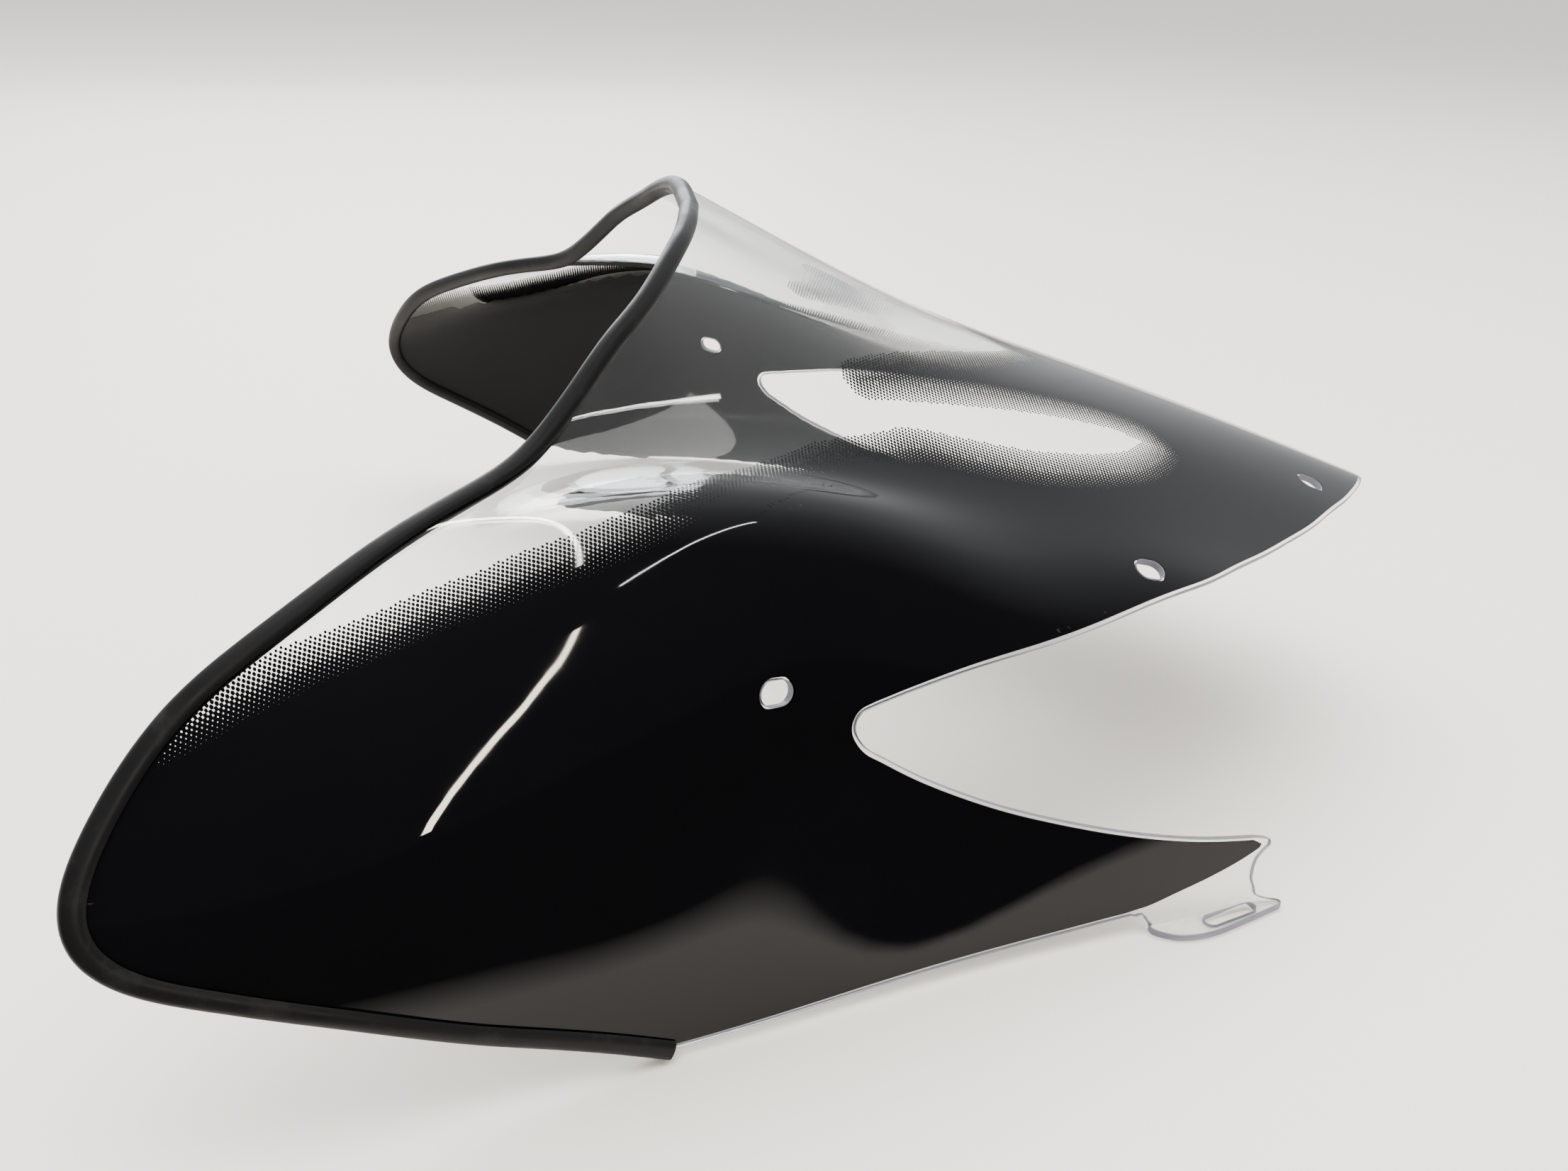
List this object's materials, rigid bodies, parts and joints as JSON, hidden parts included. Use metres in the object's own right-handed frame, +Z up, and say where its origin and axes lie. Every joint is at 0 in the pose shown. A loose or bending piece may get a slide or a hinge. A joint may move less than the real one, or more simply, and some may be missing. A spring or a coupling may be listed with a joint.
{
  "type": "motorcycle windshield screen",
  "caption": "Clear thermoformed windshield with a black printed border, a rubber channel on its rear edge, side wings and slotted mounting tabs.",
  "frame": {"origin": "centre of the bounding box, at the level of the surface the screen stands on", "axes": "+Z up, -Y towards the nose of the screen, X across it with X = 0 the plane of symmetry"},
  "size_m": [0.4894, 0.4292, 0.2025],
  "materials": {
    "clear_acrylic": "clear, polished",
    "screen_print": "black ink, glossy through the sheet and satin on its free side",
    "black_rubber": "satin"
  },
  "bodies": {
    "root": {"screen": "clear_acrylic", "printed_mask": "screen_print", "edge_trim": "black_rubber"}
  },
  "joints": []
}
